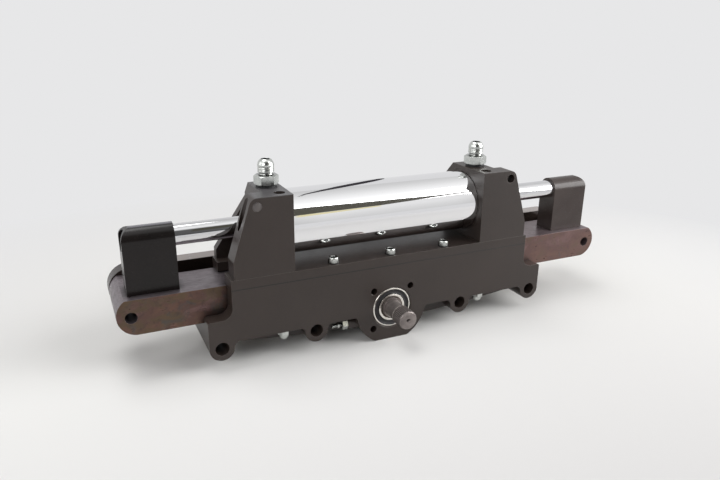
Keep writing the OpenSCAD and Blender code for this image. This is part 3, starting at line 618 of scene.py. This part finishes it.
def add_lid_screws():
    """Three screws along each long edge of the lid, the rear ones smaller."""
    lid_top = box_mm("lid")[1].z
    for node, head_r, height, shank_r, socket in (("lid_front_screws", 5.0, 6.0, 3.0, 5.0),
                                                  ("lid_rear_screws", 3.5, 4.0, 2.0, 3.0)):
        low, high = box_mm(node)
        y = (low.y + high.y) / 2
        places = [(low.x + head_r, y), ((low.x + high.x) / 2, y), (high.x - head_r, y)]
        rows = socket_head_rows(low.z, lid_top, shank_r, head_r, height, socket)
        add_screws(node.replace("_screws", "_socket_screws"), places, rows, node)


def add_outer_screws():
    """One screw at each tower's outer foot."""
    low, high = box_mm("tower_outer_screws")
    head_r, height = 4.95, 6.0
    y = (low.y + high.y) / 2
    rows = socket_head_rows(low.z, high.z - height, 3.0, head_r, height, 5.0)
    places = [(low.x + head_r, y), (high.x - head_r, y)]
    add_screws("outer_socket_screws", places, rows, "tower_outer_screws")


def add_cap_nuts():
    """Domed hexagon nuts under the front wall."""
    low, high = box_mm("tower_bolt_nuts")
    across_flats, dome_r, base_r = 10.4, 4.8, 4.75
    y, corner_r = (low.y + high.y) / 2, across_flats / 2 / math.cos(math.radians(30))
    dome = [(base_r * math.sin(math.radians(a)), low.z + dome_r * (1 - math.cos(math.radians(a))))
            for a in (3, 15, 30, 45, 60, 75, 88)]
    rows = dome + [(base_r, low.z + 5.5)] + hex_rows(across_flats, low.z + 5.6, high.z, 0.0, 0.95)
    rows += [(3.1, high.z), (3.05, low.z + 4.0), (0.2, low.z + 3.6)]
    mesh = bmesh.new()
    for x in (low.x + corner_r, high.x - corner_r):
        add_turned(mesh, rows, (x, y, 0), count=96)
    finish_piece("domed_nuts", mesh, "body", "zinc_steel", "tower_bolt_nuts")


def add_adjuster():
    """Adjuster beside the boss: threaded stud with a collar and a socket end, and its lock nut."""
    low, high = box_mm("adjuster_screw")
    nut_low, nut_high = box_mm("adjuster_nut")
    centre = (0, (low.y + high.y) / 2, (low.z + high.z) / 2)
    stud_r, thread_depth, pitch, collar_r = 2.0, 0.32, 0.7, 2.75
    collar = low.x + 5.5
    rows = [(0.2, low.x + 2.4), (hexagon(2, 0), low.x + 2.2), (hexagon(2, 0), low.x + 0.05), (1.45, low.x),
            (1.6, low.x)]
    rows += thread_rows(stud_r, thread_depth, pitch, low.x + 0.5, collar)
    rows += [(2.4, collar), (collar_r, collar + 0.3), (collar_r, collar + 1.7), (2.4, collar + 2.0)]
    rows += thread_rows(stud_r, thread_depth, pitch, collar + 2.0, nut_high.x) + [(stud_r, high.x)]
    mesh = bmesh.new()
    add_turned(mesh, rows, centre, axis="X", count=48)
    finish_piece("adjuster_stud", mesh, "body", "zinc_steel", "adjuster_screw")
    hole_r = stud_r + 0.05
    rows = hex_rows(9, nut_low.x, nut_high.x, 0.0, 0.95)
    rows += [(2.5, nut_high.x), (hole_r, nut_high.x - 0.5), (hole_r, nut_low.x + 0.5), (2.5, nut_low.x)]
    mesh = bmesh.new()
    add_turned(mesh, rows, centre, axis="X", count=96, rounds=True)
    finish_piece("adjuster_lock_nut", mesh, "body", "zinc_steel", "adjuster_nut")


def add_bearing_seals():
    """Moulded seals of the front bearing, with a rounded rim, a shallow dish and a lip at the inner ring."""
    low, high = box_mm("front_bearing_seals")
    outer = (high.x - low.x) / 2
    inner = 14.2
    profile = [(inner, 0.55), (inner + 0.25, 0.3), (inner + 0.6, 0.25), (inner + 0.9, 0.5),
               (inner + 1.2, 0.62), (outer - 1.3, 0.62), (outer - 1.0, 0.35), (outer - 0.55, 0.12),
               (outer - 0.2, 0.1), (outer, 0.35), (outer, 0.95), (inner, 0.95)]
    mesh = bmesh.new()
    for face, way in ((low.y, 1.0), (high.y, -1.0)):
        rows = [(r, face + way * depth) for r, depth in profile]
        add_turned(mesh, rows, (0, 0, 0), axis="Y", count=128, rounds=True)
    finish_piece("moulded_bearing_seals", mesh, "body", "seal_rubber", "front_bearing_seals", sharp=50)


def add_detail_pieces():
    add_fitting("left", turn=-9.7)
    add_fitting("right", turn=24.5)
    add_lid_screws()
    add_outer_screws()
    add_cap_nuts()
    add_adjuster()
    add_bearing_seals()


# Studio: pale sweep, cards that only metal reflects, soft lights, with lengths in metres

FLOOR_Z = cad_box[0][2]
SWEEP_TURN = 0.44
SWEEP_HALF_WIDTH, SWEEP_FRONT = 6.0, -4.0
BEND_START, BEND_R, BEND_STEPS = 0.62, 0.55, 24
WALL_TOP = 1.4
SHADE_FROM, SHADE_TO = 0.29, 0.6


def sweep_material():
    """Paper that takes the object's shadow near it and turns to an even near-white further away."""
    look = Surface("sweep", srgb(232, 231, 230), 0.0, 0.9)
    look.shader.inputs["Specular IOR Level"].default_value = 0.0
    ray = look.node("ShaderNodeLightPath").outputs
    through = look.math("MAXIMUM", ray["Is Glossy Ray"], ray["Is Transmission Ray"])
    seen = look.math("MAXIMUM", ray["Is Camera Ray"], through)
    paper = look.tint(look.noise(size=1.4, detail=2.0), srgb(229, 229, 226), srgb(233, 232, 230))
    lean = look.math("SUBTRACT", look.place(0), look.math("MULTIPLY", look.place(1), 1.4))
    front_right = look.fade(look.math("ADD", lean, 0.5), 0.0, 1.0, 0.3, 1.0)
    shade = look.mix(front_right, paper, srgb(205, 204, 203))
    look.colour(look.mix(seen, srgb(140, 133, 125), shade))
    away = look.node("ShaderNodeVectorMath", operation="LENGTH")
    look.link(look.scaled((0.84, 1.0, 1.0)), away.inputs[0])
    far = look.fade(away.outputs["Value"], 0.0, 1.0, SHADE_FROM, SHADE_TO)
    mix = look.node("ShaderNodeMixShader")
    look.link(look.both(seen, far), mix.inputs[0])
    look.link(look.shader.outputs["BSDF"], mix.inputs[1])
    look.link(emission(look.tree, srgb(231, 231, 232)), mix.inputs[2])
    look.link(mix.outputs[0], look.out.inputs["Surface"])
    return look.material


def add_sweep():
    """Floor that bends up into a wall behind the object, about square to the camera."""
    profile = [(SWEEP_FRONT, 0.0), (BEND_START, 0.0)]
    for k in range(1, BEND_STEPS + 1):
        a = math.radians(90 * k / BEND_STEPS)
        profile.append((BEND_START + BEND_R * math.sin(a), BEND_R * (1 - math.cos(a))))
    profile.append((BEND_START + BEND_R, WALL_TOP))
    points = [(side, away, up) for away, up in profile for side in (-SWEEP_HALF_WIDTH, SWEEP_HALF_WIDTH)]
    faces = [(2 * k, 2 * k + 1, 2 * k + 3, 2 * k + 2) for k in range(len(profile) - 1)]
    mesh = bpy.data.meshes.new("sweep")
    mesh.from_pydata(points, [], faces)
    for face in mesh.polygons:
        face.use_smooth = True
    mesh.materials.append(sweep_material())
    sweep = add_object("sweep", mesh)
    sweep.location.z = FLOOR_Z
    sweep.rotation_euler.z = -SWEEP_TURN


def add_card(name, one_edge, other_edge, colour):
    """Card between two edges of equal length, in the room round the object, seen only in polished metal."""
    count = len(one_edge)
    faces = [(k, k + 1, count + k + 1, count + k) for k in range(count - 1)]
    mesh = bpy.data.meshes.new(name)
    mesh.from_pydata(one_edge + other_edge, [], faces)
    material = bpy.data.materials.new(name)
    material.use_nodes = True
    tree = material.node_tree
    tree.nodes.clear()
    out = tree.nodes.new("ShaderNodeOutputMaterial")
    tree.links.new(emission(tree, colour), out.inputs["Surface"])
    mesh.materials.append(material)
    card = add_object(name, mesh)
    card.visible_camera = card.visible_diffuse = card.visible_shadow = False
    card.visible_transmission = False


def along(start, way, distance):
    """The point that a reflection from `start` (mm) meets at `distance` metres."""
    return Vector(start) * MM + Vector(way).normalized() * distance


def add_tube_cards():
    """Dark gap of the room along the tube's front and the warm edge under its left part."""
    gap, glow = 1.3, 1.29
    left, middle, right = (-71, 12, 109), (-10, 11, 108), (55, 10, 106)
    near_end, end = (85, 10, 105), (99, 10, 104)
    starts = [left, left, left, middle, right, near_end, end]
    upper = [(0.08, -0.62, 0.78), (0.22, -0.56, 0.80), (0.33, -0.53, 0.78), (0.44, -0.585, 0.68),
             (0.52, -0.61, 0.60), (0.56, -0.585, 0.60), (0.59, -0.575, 0.595)]
    lower = [(0.08, -0.9, 0.42), (0.22, -0.86, 0.45), (0.35, -0.80, 0.48), (0.44, -0.765, 0.47),
             (0.52, -0.66, 0.53), (0.56, -0.635, 0.545), (0.59, -0.605, 0.565)]
    add_card("room_gap", [along(start, way, gap) for start, way in zip(starts, upper)],
             [along(start, way, gap) for start, way in zip(starts, lower)], srgb(88, 86, 78))
    add_card("warm_edge",
             [along(left, (0.30, -0.815, 0.475), glow), along(middle, (0.44, -0.77, 0.465), glow)],
             [along(left, (0.30, -0.872, 0.378), glow), along(middle, (0.44, -0.797, 0.42), glow)],
             srgb(238, 228, 184))


def add_backdrop_edge():
    """Edge of the backdrop that crosses the tube's top as a thin dark stroke, widest at mid-length."""
    strokes = [(-84, (0.32, 0.2, 0.92), 0.03), (-78, (0.33, 0.36, 0.87), 0.06),
               (-63, (0.36, 0.55, 0.75), 0.11), (-48, (0.38, 0.68, 0.62), 0.14),
               (-32, (0.40, 0.78, 0.48), 0.14), (-15, (0.42, 0.86, 0.28), 0.1), (0, (0.44, 0.9, 0.05), 0.03)]
    widen = Vector((0.3, -0.4, 0.8)).normalized()
    near = [along((x, 36, 121), way, 0.8) for x, way, width in strokes]
    far = [spot + widen * width for spot, (x, way, width) in zip(near, strokes)]
    add_card("backdrop_edge", near, far, srgb(60, 57, 62))


def add_area(name, place, power, size=(1.0, 0.8)):
    """Soft lamp that points at the origin."""
    data = bpy.data.lights.new(name, "AREA")
    data.shape = "RECTANGLE"
    data.size, data.size_y = size
    data.energy = power
    lamp = add_object(name, data)
    lamp.location = place
    lamp.rotation_euler = (-Vector(place)).to_track_quat("-Z", "Y").to_euler()


def add_lights():
    add_area("right", (1.25, -0.6, 0.5), 18.5)
    add_area("right_front", (0.9, -1.1, 1.4), 10.5)
    add_area("left", (-1.3, -0.95, 0.85), 9.5)
    add_area("overhead", (-0.4, 0.25, 1.5), 9.5, size=(1.1, 0.7))
    add_area("side", (-1.4, 0.3, 0.7), 3.0)


# Brightness of the room round the object's long axis: (degrees up from the front, value)
ROOM = [(-90, 0.62), (-30, 0.62), (-12, 0.66), (2, 0.74), (13, 0.81), (24, 0.9), (34, 0.92),
        (50, 1.0), (58, 1.3), (68, 1.2), (76, 1.08), (84, 1.0), (97, 0.86), (112, 0.74),
        (130, 0.66), (155, 0.71), (180, 0.74)]
ROOM_PEAK = max(value for degrees, value in ROOM)
# Share of the room below the overhead light by how far right a direction points: (its X, share)
ROOM_SIDE = [(0.0, 0.1), (0.22, 0.16), (0.31, 0.9), (0.36, 1.0), (0.54, 1.0), (0.64, 0.66), (1.0, 0.7)]
ROOM_SIDE_UP_TO = [(48, 1.0), (66, 0.0)]


def grey_curve(tree, factor, stops):
    """A ramp over stops of (place, value)."""
    return colour_ramp(tree, factor, [(place, grey(value)) for place, value in stops])


def round_turn(stops, peak=1.0):
    """Stops in degrees up from the front, as shares of a full turn and of the peak."""
    return [(0.5 + degrees / 360, value / peak) for degrees, value in stops]


def room_value(tree):
    """Studio seen in metal: bright overhead, paler front, darker to the left of the front."""
    split = tree.nodes.new("ShaderNodeSeparateXYZ")
    tree.links.new(tree.nodes.new("ShaderNodeTexCoord").outputs["Generated"], split.inputs[0])
    x, y, z = split.outputs
    turn = maths(tree, "ARCTAN2", z, maths(tree, "MULTIPLY", y, -1.0))
    place = maths(tree, "ADD", maths(tree, "MULTIPLY", turn, 0.5 / math.pi), 0.5)
    around = grey_curve(tree, place, round_turn(ROOM, ROOM_PEAK))
    side = grey_curve(tree, x, ROOM_SIDE)
    front = grey_curve(tree, place, round_turn(ROOM_SIDE_UP_TO))
    lost = maths(tree, "MULTIPLY", front, maths(tree, "SUBTRACT", 1.0, side))
    dimmed = maths(tree, "SUBTRACT", 1.0, lost)
    return maths(tree, "MULTIPLY", maths(tree, "MULTIPLY", around, ROOM_PEAK), dimmed)


def add_world():
    """Even fill light, a near-white backdrop for the camera and a shaded studio for reflections."""
    world = bpy.data.worlds.new("world")
    bpy.context.scene.world = world
    world.use_nodes = True
    tree = world.node_tree
    tree.nodes.clear()
    ray = tree.nodes.new("ShaderNodeLightPath").outputs

    def background(colour, strength):
        node = tree.nodes.new("ShaderNodeBackground")
        node.inputs["Color"].default_value = colour
        fill(tree, node.inputs["Strength"], strength)
        return node.outputs[0]

    def mixed(factor, a, b):
        node = tree.nodes.new("ShaderNodeMixShader")
        for target, source in zip(node.inputs, (factor, a, b)):
            tree.links.new(source, target)
        return node.outputs[0]

    light = background(srgb(236, 236, 240), 0.3)
    seen = background(srgb(232, 232, 233), 1.0)
    room = background(grey(1.0), room_value(tree))
    direct = maths(tree, "MAXIMUM", ray["Is Camera Ray"], ray["Is Transmission Ray"])
    shown = mixed(direct, mixed(ray["Is Glossy Ray"], light, room), seen)
    out = tree.nodes.new("ShaderNodeOutputWorld")
    tree.links.new(shown, out.inputs["Surface"])


add_camera()
dress_cad_nodes()
add_detail_pieces()
add_sweep()
add_tube_cards()
add_backdrop_edge()
add_lights()
add_world()
bpy.context.scene.view_settings.view_transform = "Standard"
